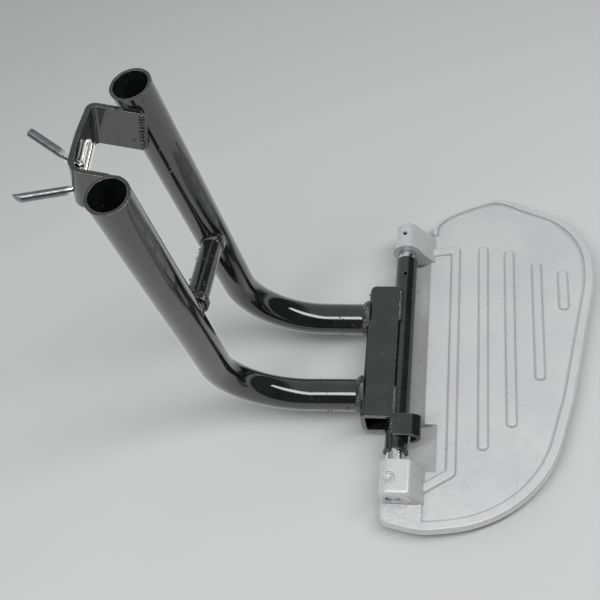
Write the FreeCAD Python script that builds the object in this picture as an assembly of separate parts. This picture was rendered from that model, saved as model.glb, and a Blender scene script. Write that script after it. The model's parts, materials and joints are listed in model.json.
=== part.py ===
import FreeCAD, Part
import math
import os

os.makedirs("parts", exist_ok=True)

# Sizes are in millimetres: x points outboard, y to the rear, z up; the hinge axis runs along y at 0, 0
V = FreeCAD.Vector
UP = V(0, 0, 1)
ALONG_Y = V(0, 1, 0)
weld_overlap = 1.0

# Hinge sizes
pin_diameter = 12.0
pin_south_inset = 3.5
pin_north_inset = 1.5
running_clearance = 0.05
seat_clearance = 0.02
barrel_diameter = 15.0
barrel_length = 146.0
lip_diameter = 16.2
lip_length = 1.5
grease_hole_diameter = 3.0
grease_hole_inset = 15.0

# Channel that carries the hinge barrel
plate_thickness = 3.0
channel_left = -23.3
channel_open_side = -2.5
channel_top = 10.5
channel_bottom = -14.2
channel_length = 98.0
channel_inset = 20.0
channel_top_bend = 2.0
channel_low_bend = 4.5
channel_plan_radius = 5.0

# Arm tubes
tube_diameter = 21.3
tube_wall = 1.6
bend_radius = 52.0
rear_foot_y = 24.5
rear_bend_start = -53.4
rear_bend_angle = 86.7
rear_lean = 2.6
rear_toe = 0.3
rear_rise = 178.7
front_foot_y = -33.3
front_bend_start = -58.3
front_bend_angle = 90.0
front_lean = 4.75
front_toe = -1.2
front_rise = 177.3

# Cross brace between the arms
brace_diameter = 12.7
brace_wall = 2.0
brace_rear_height = 56.9
brace_front_height = 63.6
brace_rear_offset = 3.3
brace_front_offset = 4.6

# Mounting strap, a bar bent to a U and open outboard
strap_width = 25.4
strap_thickness = 2.5
strap_inner_gap = 38.0
strap_rear_corner = 2.5
strap_front_corner = 5.0
strap_bow = 0.9
strap_bow_radius = 120.0
strap_pitch = 16.0
strap_rear_leg = 23.4
strap_front_leg = 24.0
strap_flare_start = 16.5
strap_flare = 3.4
strap_drop = 13.0
strap_inboard = 20.7
strap_side_gap = 0.0
clamp_depth = 20.0

# Split pin through the back of the strap
cotter_diameter = 4.4
cotter_hole_diameter = 5.2
eye_length = 18.6
eye_depth = 5.4
eye_wire = 2.1
eye_gap = 0.75
eye_centre = (-5.9, 5.0)
eye_tilt = 15.0
eye_chamfer = 0.8
round_margin = 0.05
leg_root = 2.2
rear_leg_tip = (-25.4, 3.2, 5.0)
rear_leg_angle = 28.5
front_leg_tip = (-27.3, -26.7, -8.0)
front_leg_angle = 24.0
front_leg_mitre = 4.0

# Hook strip over the front end of the barrel
hook_thickness = 2.5
hook_width = 14.5
hook_inset = 8.5

# Footboard casting
board_underside = -14.0
floor_level = -11.0
rim_level = -8.0
rim_width = 6.2
rim_chamfer = 1.4
floor_chamfer = 1.6
board_inner_side = 17.7
pocket_side = 17.0
lug_gap = 7.0
lug_depth = 23.0
lug_radius = 8.65
lug_flank_foot = 17.5
lug_end_round = 3.0
flare_radius = 10.2
flare_depth = 2.7
front_lug_top_side = 10.0
front_lug_left_round = 6.0
front_lug_right_round = 3.0
drift_hole_diameter = 9.7
rib_width = 6.8
rib_height = 2.3
rib_chamfer = 1.1
border_width = 6.5

# Curved lip of the casting under the barrel
trough_axis = V(2.5, 0, 0.5)
trough_radius = 18.3
ramp_axis = V(8.0, 0, 10.0)
ramp_radius = 27.0
lip_thickness = 4.0
lip_step_length = 32.5
stop_clearance = 0.2
pad_inboard = -8.5
pad_outboard = -1.5
pad_foot = -18.0

# Screw and hole in the lugs
screw_diameter = 6.0
screw_socket = 3.0
screw_recess_diameter = 7.5
screw_recess_depth = 1.0
screw_x = -2.7
screw_inset = 11.0
dowel_hole_diameter = 3.0
dowel_sink_diameter = 4.6
dowel_x = -2.0
dowel_inset = 10.0

# Weld beads
foot_bead = 3.2
brace_bead = 2.4
brace_stand_off = 10.4
strap_bead = 2.0
seam_bead = 2.0
seam_front_length = 22.0
seam_rear_length = 26.0
seam_drop = 1.6
seam_stand_off = 0.4
lower_bead = 2.6
lower_length = 30.0
lower_stand_off = 1.0
bead_inset = 1.0
hook_bead = 1.6
hook_bead_place = (-2.6, 8.4)

# Sizes that follow from the ones above
tube_radius = tube_diameter / 2
pin_radius = pin_diameter / 2
barrel_radius = barrel_diameter / 2
stop_level = channel_bottom - stop_clearance
lug_inner_face = barrel_length / 2 + lug_gap
lug_outer_face = lug_inner_face + lug_depth
pin_south_end = pin_south_inset - lug_outer_face
pin_north_end = lug_outer_face - pin_north_inset
channel_south = channel_inset - barrel_length / 2
channel_north = channel_south + channel_length
hook_south = hook_inset - barrel_length / 2
hook_north = hook_south + hook_width
grease_hole_y = barrel_length / 2 - grease_hole_inset
lip_step_y = lip_step_length - lug_inner_face
screw_y = screw_inset - lug_outer_face
dowel_y = lug_outer_face - dowel_inset
rib_base = floor_level - 0.5
rib_top = floor_level + rib_height


# Closed outline with rounded corners from (a, b, radius) corners
def outline(corners, place):
    count = len(corners)
    starts = []
    pieces = []
    for i in range(count):
        corner = V(corners[i][0], corners[i][1], 0)
        before = V(corners[i - 1][0], corners[i - 1][1], 0)
        after = V(corners[(i + 1) % count][0], corners[(i + 1) % count][1], 0)
        radius = corners[i][2]
        back = (before - corner).normalize()
        ahead = (after - corner).normalize()
        half = back.getAngle(ahead) / 2
        if radius < 0.05 or half > math.pi / 2 - 0.001:
            starts.append((corner, corner, None))
            continue
        reach = radius / math.tan(half)
        inward = (back + ahead).normalize()
        middle = corner + inward * (radius / math.sin(half) - radius)
        starts.append((corner + back * reach, corner + ahead * reach, middle))
    for i in range(count):
        first, last, middle = starts[i]
        following = starts[(i + 1) % count][0]
        if middle is not None:
            pieces.append(Part.Arc(place(first), place(middle), place(last)).toShape())
        if (following - last).Length > 1e-6:
            pieces.append(Part.makeLine(place(last), place(following)))
    return Part.Face(Part.Wire(pieces))


# Corners of a strip lying half a thickness to each side of a bent mid-line
def strip(mid_line, thickness):
    left = []
    right = []
    last = len(mid_line) - 1
    for i in range(last + 1):
        here = V(mid_line[i][0], mid_line[i][1], 0)
        before = V(mid_line[max(i - 1, 0)][0], mid_line[max(i - 1, 0)][1], 0)
        after = V(mid_line[min(i + 1, last)][0], mid_line[min(i + 1, last)][1], 0)
        inward = (here - before) if i > 0 else (after - here)
        onward = (after - here) if i < last else (here - before)
        inward.normalize()
        onward.normalize()
        side_in = UP.cross(inward)
        side_on = UP.cross(onward)
        mitre = (side_in + side_on) * (1 / (1 + side_in.dot(side_on)))
        turn = math.copysign(1, inward.cross(onward).z)
        half = thickness / 2
        radius = mid_line[i][2]
        near = max(radius - half * turn, 0) if radius > 0 else 0
        far = max(radius + half * turn, 0) if radius > 0 else 0
        left.append((here.x + half * mitre.x, here.y + half * mitre.y, near))
        right.append((here.x - half * mitre.x, here.y - half * mitre.y, far))
    return left + right[::-1]


# Places a plan outline at a height, and a side outline at a station along y
def at_height(level):
    return lambda a: V(a.x, a.y, level)


def at_station(y):
    return lambda a: V(a.x, y, a.y)


# Prisms drawn in plan and in side view
def plan_prism(corners, low, high):
    return outline(corners, at_height(low)).extrude(V(0, 0, high - low))


def side_prism(corners, south, north):
    return outline(corners, at_station(south)).extrude(V(0, north - south, 0))


def bar_between(first, last, diameter):
    run = last - first
    return Part.makeCylinder(diameter / 2, run.Length, first, run)


def joined(pieces):
    return pieces[0].multiFuse(pieces[1:]).removeSplitter()


# Path of one arm: straight foot, bend upward, straight rise
def arm_path(foot_y, bend_start, angle, lean, toe, rise):
    toe_in = math.radians(toe)
    lean_in = math.radians(lean)
    turn = math.radians(angle)
    away = V(-math.cos(toe_in), math.sin(toe_in), 0)
    side = away.cross(UP)
    lift = UP * math.cos(lean_in) - side * math.sin(lean_in)
    run = (channel_left - bend_start) / math.cos(toe_in)
    foot = V(channel_left, foot_y, 0)
    start = foot + away * run
    centre = start + lift * bend_radius
    axis = away.cross(lift)
    end = centre + (away * math.sin(turn) - lift * math.cos(turn)) * bend_radius
    heading = away * math.cos(turn) + lift * math.sin(turn)
    top = end + heading * rise
    return {"foot": foot, "away": away, "start": start, "centre": centre, "axis": axis,
            "angle": angle, "end": end, "heading": heading, "top": top}


# Solid bar along an arm path, a little long at either end when asked
def arm_bar(path, radius, extra_foot, extra_top):
    foot = path["foot"] - path["away"] * extra_foot
    stub = Part.makeCylinder(radius, (path["start"] - foot).Length, foot, path["away"])
    disc = Part.Face(Part.Wire(Part.makeCircle(radius, path["start"], path["away"])))
    bend = disc.revolve(path["centre"], path["axis"], path["angle"])
    length = (path["top"] - path["end"]).Length + extra_top
    rise = Part.makeCylinder(radius, length, path["end"], path["heading"])
    return joined([stub, bend, rise])


rear_path = arm_path(rear_foot_y, rear_bend_start, rear_bend_angle, rear_lean, rear_toe, rear_rise)
front_path = arm_path(front_foot_y, front_bend_start, front_bend_angle, front_lean, front_toe,
                      front_rise)


# Point on an arm's centre line, so far up its rise
def on_rise(path, height):
    return path["end"] + path["heading"] * height


# Strap placement: along the legs, across, and over the bar's width
strap_level = on_rise(rear_path, rear_rise - strap_drop)
strap_outer_side = strap_level.y - tube_radius - strap_side_gap
strap_centre_y = strap_outer_side - strap_thickness - strap_inner_gap / 2
strap_back = V(strap_level.x - strap_inboard, strap_centre_y, strap_level.z)
strap_turn = FreeCAD.Rotation(ALONG_Y, strap_pitch)
strap_along = strap_turn.multVec(V(1, 0, 0))
strap_up = strap_turn.multVec(UP)
clamp_centre = strap_back + strap_along * clamp_depth


def in_strap(along, across, up):
    return strap_back + strap_along * along + ALONG_Y * across + strap_up * up


# Everything is moved so that the middle of the clamp is the origin
def export(shape, name):
    moved = shape.copy()
    moved.translate(clamp_centre * -1)
    moved.exportStep("parts/" + name + ".step")


# Channel: top flange, web and bottom flange pressed from one plate
half_plate = plate_thickness / 2
channel_line = [
    (channel_open_side, channel_top - half_plate, 0),
    (channel_left + half_plate, channel_top - half_plate, channel_top_bend),
    (channel_left + half_plate, channel_bottom + half_plate, channel_low_bend),
    (channel_open_side, channel_bottom + half_plate, 0),
]
channel_plan = [
    (channel_left, channel_south, 0),
    (channel_open_side, channel_south, 0),
    (channel_open_side, channel_north, 0),
    (channel_left, channel_north, channel_plan_radius),
]
hinge_channel = side_prism(strip(channel_line, plate_thickness), channel_south, channel_north)
hinge_channel = hinge_channel.common(plan_prism(channel_plan, channel_bottom, channel_top))
channel_block = side_prism([
    (channel_open_side, channel_top, 0),
    (channel_left, channel_top, channel_top_bend + half_plate),
    (channel_left, channel_bottom, channel_low_bend + half_plate),
    (channel_open_side, channel_bottom, 0),
], channel_south, channel_north)

# Arm tubes, open at the top and welded to the web of the channel
arm_cores = []
arm_tubes = []
for path in (rear_path, front_path):
    core = arm_bar(path, tube_radius, weld_overlap, 0)
    hollow = arm_bar(path, tube_radius - tube_wall, 2 * weld_overlap, weld_overlap)
    arm_cores.append(core)
    arm_tubes.append(core.cut([hollow, channel_block]))

# Cross brace, coped to both tubes
brace_rear_end = on_rise(rear_path, brace_rear_height) + V(brace_rear_offset, 0, 0)
brace_front_end = on_rise(front_path, brace_front_height) + V(brace_front_offset, 0, 0)
brace_core = bar_between(brace_rear_end, brace_front_end, brace_diameter)
brace_hollow = bar_between(brace_rear_end, brace_front_end, brace_diameter - 2 * brace_wall)
cross_brace = brace_core.cut([brace_hollow] + arm_cores)

# Hinge barrel with its end lip and grease hole
barrel_start = -barrel_length / 2
barrel_body = Part.makeCylinder(barrel_radius, barrel_length, V(0, barrel_start, 0), ALONG_Y)
barrel_lip = Part.makeCylinder(lip_diameter / 2, lip_length, V(0, barrel_start, 0), ALONG_Y)
barrel_bore = Part.makeCylinder(pin_radius + running_clearance, barrel_length + 2,
                                V(0, barrel_start - 1, 0), ALONG_Y)
grease_hole = Part.makeCylinder(grease_hole_diameter / 2, barrel_radius, V(0, grease_hole_y, 0), UP)
barrel_core = joined([barrel_body, barrel_lip])
hinge_barrel = barrel_core.cut([barrel_bore, grease_hole])

# Hook strip, bent over the barrel and back under its outboard side
hook_line = [
    (-2.2, 8.9, 0),
    (10.0, 8.9, 2.2),
    (14.5, 6.5, 2.2),
    (13.9, 2.0, 2.6),
    (9.5, -2.5, 0),
]
stop_hook = side_prism(strip(hook_line, hook_thickness), hook_south, hook_north)

# Mounting strap, drawn flat at mid-width and turned to its pitch
half_bar = strap_thickness / 2
strap_half = strap_inner_gap / 2 + half_bar
strap_line = [
    (strap_rear_leg, strap_half, 0),
    (-half_bar, strap_half, strap_rear_corner + half_bar),
    (-half_bar - strap_bow, 0, strap_bow_radius),
    (-half_bar, -strap_half, strap_front_corner + half_bar),
    (strap_flare_start, -strap_half, 6.0),
    (strap_front_leg, -strap_half - strap_flare, 0),
]
strap_flat = plan_prism(strip(strap_line, strap_thickness), -strap_width / 2, strap_width / 2)
strap_flat.Placement = FreeCAD.Placement(strap_back, strap_turn)
rear_rise_side = (leg_root - rear_leg_tip[0]) * math.tan(math.radians(rear_leg_angle))
front_drop_side = (leg_root - front_leg_tip[0]) * math.tan(math.radians(front_leg_angle))
rear_root = in_strap(leg_root, rear_leg_tip[1] - rear_rise_side, rear_leg_tip[2])
front_root = in_strap(leg_root, front_leg_tip[1] + front_drop_side, front_leg_tip[2])
rear_tip = in_strap(rear_leg_tip[0], rear_leg_tip[1], rear_leg_tip[2])
front_tip = in_strap(front_leg_tip[0], front_leg_tip[1], front_leg_tip[2])
leg_holes = [bar_between(rear_root, rear_tip, cotter_hole_diameter),
             bar_between(front_root, front_tip, cotter_hole_diameter)]
mounting_strap = strap_flat.cut(arm_cores + leg_holes)

# Split pin: flattened eye inside the strap and two spread legs through its back
eye_back = -strap_bow + eye_gap
eye_corner = eye_depth / 2 - round_margin
eye_half = eye_length / 2
eye_outer = [
    (eye_back, -eye_half, eye_corner),
    (eye_back + eye_depth, -eye_half, eye_corner),
    (eye_back + eye_depth, eye_half, eye_corner),
    (eye_back, eye_half, eye_corner),
]
slit_corner = eye_depth / 2 - eye_wire - round_margin
slit_half = eye_half - eye_wire
eye_slit = [
    (eye_back + eye_wire, -slit_half, slit_corner),
    (eye_back + eye_depth - eye_wire, -slit_half, slit_corner),
    (eye_back + eye_depth - eye_wire, slit_half, slit_corner),
    (eye_back + eye_wire, slit_half, slit_corner),
]
half_cotter = cotter_diameter / 2
eye_solid = plan_prism(eye_outer, -half_cotter, half_cotter)
eye_rims = [e for e in eye_solid.Edges if abs(e.CenterOfMass.z) > half_cotter - 0.01]
eye_solid = eye_solid.makeChamfer(eye_chamfer, eye_rims)
eye_solid = eye_solid.cut(plan_prism(eye_slit, -cotter_diameter, cotter_diameter))
eye_turn = strap_turn.multiply(FreeCAD.Rotation(V(1, 0, 0), eye_tilt))
eye_solid.Placement = FreeCAD.Placement(in_strap(0, eye_centre[0], eye_centre[1]), eye_turn)
eye_drop = slit_half * math.sin(math.radians(eye_tilt))
eye_end = in_strap(leg_root, eye_centre[0] - slit_half, eye_centre[1] - eye_drop)
split_pin = joined([
    eye_solid,
    bar_between(rear_root, rear_tip, cotter_diameter),
    bar_between(eye_end, front_root, cotter_diameter),
    bar_between(front_root, front_tip, cotter_diameter),
])

# The longer leg is cut off at a slant
heading = (front_tip - front_root).normalize()
beside = strap_up.cross(heading)
slant_start = front_tip - beside * half_cotter
slant_end = front_tip + beside * half_cotter - heading * front_leg_mitre
slant_far = front_tip + (heading + beside) * cotter_diameter
slant_side = slant_end + beside * cotter_diameter
slant = Part.Face(Part.makePolygon([slant_start, slant_end, slant_side, slant_far, slant_start]))
slant.translate(strap_up * -cotter_diameter)
split_pin = split_pin.cut(slant.extrude(strap_up * 2 * cotter_diameter))

# Outline of the board in plan; the second list runs on inboard so that its offset opens that side
outer_edge = [
    (64.7, 137.7, 20.4),
    (128.7, 112.9, 51.0),
    (129.5, 63.8, 100.8),
    (111.4, -27.3, 72.7),
    (88.7, -108.4, 83.9),
    (17.6, -120.1, 47.5),
]
shelf_corner = (-9.5, -115.0, 8.0)
shelf_inner = (-8.65, -104.0, 0)
board_plan = [(board_inner_side, 110.2, 0)] + outer_edge + [
    shelf_corner,
    shelf_inner,
    (-8.65, -lug_inner_face, 0),
    (board_inner_side, -lug_inner_face, 0),
]
pocket_plan = [(-20.0, 88.1, 0)] + outer_edge + [(-40.0, -109.3, 0)]
board_slab = plan_prism(board_plan, board_underside, rim_level)
rim_edges = []
for edge in board_slab.Edges:
    middle = edge.CenterOfMass
    on_rim = abs(middle.z - rim_level) < 0.01
    if on_rim and (middle.x > board_inner_side + 0.5 or middle.y < -lug_outer_face - 2):
        rim_edges.append(edge)
board_slab = board_slab.makeChamfer(rim_chamfer, rim_edges)

# Recessed floor inside the rim, open toward the hinge
pocket_face = outline(pocket_plan, at_height(floor_level)).makeOffset2D(-rim_width)
pocket = pocket_face.extrude(V(0, 0, 2 * (rim_level - floor_level)))
pocket_low = [e for e in pocket.Edges if abs(e.CenterOfMass.z - floor_level) < 0.01]
pocket = pocket.makeChamfer(floor_chamfer, pocket_low)
reach = 2 * barrel_length
floor_side = Part.makeBox(reach, reach, reach, V(pocket_side, -reach / 2, floor_level))
pocket = pocket.common(floor_side)
board = board_slab.cut(pocket)

# Straight ribs, each rounded at its ends
rib_spans = [(53.8, -64.6, 93.5), (71.8, -48.1, 89.9), (90.5, -13.9, 79.4), (108.0, 40.5, 72.6)]
ribs = []
for rib_x, south, north in rib_spans:
    half = rib_width / 2
    corners = [
        (rib_x - half, south, half - 0.6),
        (rib_x + half, south, half - 0.6),
        (rib_x + half, north, half - 0.6),
        (rib_x - half, north, half - 0.6),
    ]
    rib = plan_prism(corners, rib_base, rib_top)
    ribs.append(rib.makeChamfer(rib_chamfer, [e for e in rib.Edges if e.CenterOfMass.z > rib_top - 0.01]))

# Raised border that runs down beside the hinge and turns in at both ends
border_line = [(14.0, 87.6, 0), (34.3, 90.4, 1.0), (34.0, -80.6, 1.0), (15.0, -93.0, 0)]
border = plan_prism(strip(border_line, border_width), rib_base, rib_top)
top_edges = [e for e in border.Edges if e.CenterOfMass.z > rib_top - 0.01]
border = border.makeChamfer(rib_chamfer, top_edges)
board = joined([board, border] + ribs)

# Hollow for the barrel: a round trough, and a wider ramp at the front
trough_cut = Part.makeCylinder(trough_radius, lug_inner_face - lip_step_y,
                               V(trough_axis.x, lip_step_y, trough_axis.z), ALONG_Y)
ramp_cut = Part.makeCylinder(ramp_radius, lug_inner_face + lip_step_y,
                             V(ramp_axis.x, -lug_inner_face, ramp_axis.z), ALONG_Y)
board = board.cut([trough_cut, ramp_cut])


# Height of a lip arc at one x
def arc_level(axis, radius, x):
    return axis.z - math.sqrt(radius ** 2 - (x - axis.x) ** 2)


def arc_reach(axis, radius, z):
    return axis.x + math.sqrt(radius ** 2 - (z - axis.z) ** 2)


# One length of the curved lip with its bearing pad
def lip_piece(axis, radius, south, north):
    outer = radius + lip_thickness
    low = V(axis.x, south, axis.z - outer)
    out_start = V(arc_reach(axis, outer, board_underside), south, board_underside)
    out_end = V(pad_inboard, south, arc_level(axis, outer, pad_inboard))
    pad_left = V(pad_inboard, south, stop_level)
    pad_right = V(pad_outboard, south, stop_level)
    in_end = V(pad_outboard, south, arc_level(axis, radius, pad_outboard))
    in_start = V(arc_reach(axis, radius, floor_level), south, floor_level)
    in_low = V(axis.x + 2, south, arc_level(axis, radius, axis.x + 2))
    heel = V(out_start.x, south, floor_level)
    edges = [
        Part.Arc(out_start, low, out_end).toShape(),
        Part.makeLine(out_end, pad_left),
        Part.makeLine(pad_left, pad_right),
        Part.makeLine(pad_right, in_end),
        Part.Arc(in_end, in_low, in_start).toShape(),
        Part.makeLine(in_start, heel),
        Part.makeLine(heel, out_start),
    ]
    piece = Part.Face(Part.Wire(edges)).extrude(V(0, north - south, 0))
    if out_end.z > pad_foot:
        block = Part.makeBox(pad_outboard - pad_inboard, north - south, stop_level - pad_foot,
                             V(pad_inboard, south, pad_foot))
        piece = piece.fuse(block)
    return piece


lip_main = lip_piece(trough_axis, trough_radius, lip_step_y, lug_inner_face)
lip_ramp = lip_piece(ramp_axis, ramp_radius, -lug_inner_face, lip_step_y)

# Rear lug, round over the pin and sloping down to the board
flank_foot = V(lug_flank_foot, 0, rim_level)
foot_distance = math.hypot(flank_foot.x, flank_foot.z)
flank_bearing = math.atan2(flank_foot.z, flank_foot.x) + math.acos(lug_radius / foot_distance)
flank_top = V(lug_radius * math.cos(flank_bearing), 0, lug_radius * math.sin(flank_bearing))
slope = (flank_top.x - flank_foot.x) / (flank_top.z - flank_foot.z)
low_x = lug_flank_foot + slope * (board_underside + 1 - rim_level)
rear_lug_edges = [
    Part.Arc(V(-lug_radius, 0, 0), V(0, 0, lug_radius), flank_top).toShape(),
    Part.makeLine(flank_top, V(low_x, 0, board_underside + 1)),
    Part.makeLine(V(low_x, 0, board_underside + 1), V(low_x, 0, board_underside)),
    Part.makeLine(V(low_x, 0, board_underside), V(-lug_radius, 0, board_underside)),
    Part.makeLine(V(-lug_radius, 0, board_underside), V(-lug_radius, 0, 0)),
]
rear_lug = Part.Face(Part.Wire(rear_lug_edges)).extrude(V(0, lug_depth, 0))
rear_lug.translate(V(0, lug_inner_face, 0))
rear_edges = []
for edge in rear_lug.Edges:
    middle = edge.CenterOfMass
    if middle.y > lug_outer_face - 0.01 and middle.z > floor_level and abs(middle.x) < 17:
        rear_edges.append(edge)
rear_lug = rear_lug.makeFillet(lug_end_round, rear_edges)
flare = Part.makeCone(flare_radius, lug_radius, flare_depth, V(0, lug_inner_face, 0), ALONG_Y)
rear_lug = rear_lug.fuse(flare)

# Front lug, flat-topped with rounded shoulders
front_corners = [
    (-lug_radius, board_underside, 0),
    (-lug_radius, lug_radius, front_lug_left_round),
    (front_lug_top_side, lug_radius, front_lug_right_round),
    (lug_flank_foot, rim_level, 0),
    (lug_flank_foot + 1.2, board_underside + 1, 0),
    (lug_flank_foot + 1.2, board_underside, 0),
]
front_lug = side_prism(front_corners, -lug_outer_face, -lug_inner_face)
front_edges = []
for edge in front_lug.Edges:
    middle = edge.CenterOfMass
    if middle.y < -lug_outer_face + 0.01 and middle.z > 0.5 and middle.x < 14:
        front_edges.append(edge)
front_lug = front_lug.makeFillet(lug_end_round, front_edges)

# Bores, drift hole, screw recess and dowel hole
bore_radius = pin_radius + seat_clearance
pin_bore = Part.makeCylinder(bore_radius, lug_outer_face + 1 - pin_south_end,
                             V(0, pin_south_end - seat_clearance, 0), ALONG_Y)
drift_hole = Part.makeCylinder(drift_hole_diameter / 2, lug_depth, V(0, -lug_outer_face - 1, 0),
                               ALONG_Y)
screw_hole = Part.makeCylinder(screw_diameter / 2 + seat_clearance, lug_radius + 1,
                               V(screw_x, screw_y, 0), UP)
screw_recess = Part.makeCylinder(screw_recess_diameter / 2, 5,
                                 V(screw_x, screw_y, lug_radius - screw_recess_depth), UP)
dowel_hole = Part.makeCylinder(dowel_hole_diameter / 2, 2 * lug_radius, V(dowel_x, dowel_y, 0), UP)
dowel_sink = Part.makeCone(dowel_hole_diameter / 2, dowel_sink_diameter / 2 + 1, 1.8,
                           V(dowel_x, dowel_y, lug_radius - 1.0), UP)
board = joined([board, lip_main, lip_ramp, rear_lug, front_lug])
footboard = board.cut([pin_bore, drift_hole, screw_hole, screw_recess, dowel_hole, dowel_sink])

# Hinge pin and the grub screw that holds it
hinge_pin = Part.makeCylinder(pin_radius, pin_north_end - pin_south_end, V(0, pin_south_end, 0),
                              ALONG_Y)
screw_top = lug_radius - screw_recess_depth - 0.2
set_screw = Part.makeCylinder(screw_diameter / 2, screw_top, V(screw_x, screw_y, 0), UP)
socket_corners = []
for k in range(6):
    bearing = math.radians(60 * k)
    socket_reach = screw_socket / math.sqrt(3)
    socket_corners.append((screw_x + socket_reach * math.cos(bearing),
                           screw_y + socket_reach * math.sin(bearing), 0))
set_screw = set_screw.cut([
    Part.makeCylinder(pin_radius + seat_clearance, 2 * lug_radius,
                      V(0, screw_y - lug_radius, 0), ALONG_Y),
    plan_prism(socket_corners, screw_top - 0.9, screw_top + 1),
])

# Ring of weld round a round bar: full at its root, sloping off along the bar
def weld_ring(root, way, inner, size, depth):
    base = root - way * depth
    body = Part.makeCylinder(inner + size, depth + 0.3 * size, base, way)
    shoulder = Part.makeCone(inner + size, inner + 0.7 * size, 0.4 * size, root + way * 0.3 * size, way)
    toe = Part.makeCone(inner + 0.7 * size, inner - 0.1, 0.6 * size, root + way * 0.7 * size, way)
    return joined([body, shoulder, toe])


# Beads round the feet of both arms
arm_welds = []
for path in (rear_path, front_path):
    ring = weld_ring(path["foot"], path["away"], tube_radius, foot_bead, 1.5)
    arm_welds.append(ring.cut(arm_cores + [channel_block]))

# Beads round both ends of the brace
brace_run = (brace_front_end - brace_rear_end).normalize()
brace_welds = []
for end, way in ((brace_rear_end, brace_run), (brace_front_end, brace_run * -1)):
    ring = weld_ring(end + way * brace_stand_off, way, brace_diameter / 2, brace_bead, 3.0)
    brace_welds.append(ring.cut(arm_cores + [brace_core]))


# Straight bead between two points, tapered at both ends
def bead(first, last, radius):
    way = (last - first).normalize()
    return joined([
        bar_between(first, last, 2 * radius),
        Part.makeCone(radius, 0.5 * radius, 0.7 * radius, last, way),
        Part.makeCone(radius, 0.5 * radius, 0.7 * radius, first, way * -1),
    ])


# Beads down the ends of the strap's legs
leg_inset = strap_width / 2 - strap_bead
strap_ends = [(strap_rear_leg, strap_half), (strap_front_leg, -strap_half - strap_flare)]
strap_welds = []
for along, across in strap_ends:
    run = bead(in_strap(along, across, -leg_inset), in_strap(along, across, leg_inset), strap_bead)
    strap_welds.append(run.cut(arm_cores + [strap_flat]))

# Seam beads between channel and barrel, above and below, and at the hook
seam_x = channel_open_side + seam_stand_off
seam_z = channel_top - seam_drop
lower_x = channel_open_side + lower_stand_off
lower_z = channel_bottom + plate_thickness + lower_stand_off
south_seam = channel_south + bead_inset
north_seam = channel_north - bead_inset
seam_spans = [
    (south_seam, south_seam + seam_front_length, seam_x, seam_z, seam_bead),
    (north_seam - seam_rear_length, north_seam, seam_x, seam_z, seam_bead),
    (south_seam, south_seam + lower_length, lower_x, lower_z, lower_bead),
    (north_seam - lower_length, north_seam, lower_x, lower_z, lower_bead),
]
barrel_tools = [channel_block, barrel_core, stop_hook]
seam_welds = []
for south, north, x, z, radius in seam_spans:
    run = bead(V(x, south + radius, z), V(x, north - radius, z), radius)
    seam_welds.append(run.cut(barrel_tools))
hook_x, hook_z = hook_bead_place
hook_run = bead(V(hook_x, hook_south + hook_bead, hook_z), V(hook_x, hook_north - hook_bead, hook_z),
                hook_bead)
hook_weld = hook_run.cut(barrel_tools + [seam_welds[0]])

# Files
export(arm_tubes[0], "rear_arm_tube")
export(arm_tubes[1], "front_arm_tube")
export(cross_brace, "cross_brace")
export(mounting_strap, "mounting_strap")
export(split_pin, "split_pin")
export(hinge_channel, "hinge_channel")
export(hinge_barrel, "hinge_barrel")
export(stop_hook, "stop_hook")
export(footboard, "footboard")
export(hinge_pin, "hinge_pin")
export(set_screw, "set_screw")
export(arm_welds[0], "rear_foot_weld")
export(arm_welds[1], "front_foot_weld")
export(brace_welds[0], "brace_weld_rear")
export(brace_welds[1], "brace_weld_front")
export(strap_welds[0], "strap_weld_rear")
export(strap_welds[1], "strap_weld_front")
export(seam_welds[0], "seam_weld_front")
export(seam_welds[1], "seam_weld_rear")
export(seam_welds[2], "lower_weld_front")
export(seam_welds[3], "lower_weld_rear")
export(hook_weld, "hook_weld")
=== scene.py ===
import json
import math

import bmesh
import bpy
from mathutils import Euler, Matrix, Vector
from mathutils.bvhtree import BVHTree


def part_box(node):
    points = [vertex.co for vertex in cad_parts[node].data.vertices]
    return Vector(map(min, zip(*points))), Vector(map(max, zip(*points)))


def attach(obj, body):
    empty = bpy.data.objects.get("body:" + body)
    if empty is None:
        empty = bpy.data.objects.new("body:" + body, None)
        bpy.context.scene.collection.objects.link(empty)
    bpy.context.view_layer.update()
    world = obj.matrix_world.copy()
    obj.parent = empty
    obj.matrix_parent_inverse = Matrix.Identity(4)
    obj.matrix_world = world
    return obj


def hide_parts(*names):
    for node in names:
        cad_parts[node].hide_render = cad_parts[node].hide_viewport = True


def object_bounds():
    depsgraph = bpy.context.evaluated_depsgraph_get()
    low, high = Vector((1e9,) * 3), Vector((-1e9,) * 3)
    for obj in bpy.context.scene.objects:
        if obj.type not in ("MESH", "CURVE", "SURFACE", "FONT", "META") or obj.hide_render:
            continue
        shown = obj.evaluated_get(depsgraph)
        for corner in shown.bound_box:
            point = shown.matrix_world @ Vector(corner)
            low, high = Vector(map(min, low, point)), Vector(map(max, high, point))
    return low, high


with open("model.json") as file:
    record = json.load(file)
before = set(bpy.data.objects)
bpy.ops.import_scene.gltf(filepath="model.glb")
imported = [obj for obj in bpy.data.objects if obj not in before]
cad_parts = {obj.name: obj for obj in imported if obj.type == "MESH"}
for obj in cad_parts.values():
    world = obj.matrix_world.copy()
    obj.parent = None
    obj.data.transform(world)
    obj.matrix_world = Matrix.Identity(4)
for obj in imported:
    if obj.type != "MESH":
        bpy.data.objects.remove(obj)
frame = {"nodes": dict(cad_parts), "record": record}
cad_low, cad_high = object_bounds()

# Arm tubes and their cross brace. Steel pipe, cold bent, cut square at the top and sprayed with gloss black
# enamel. The enamel lies in a fine orange peel and has caught some dust while wet. Over edges it pulls thin and
# is painted lighter grey there: partly worn enamel and partly a painted highlight along the edges.

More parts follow.
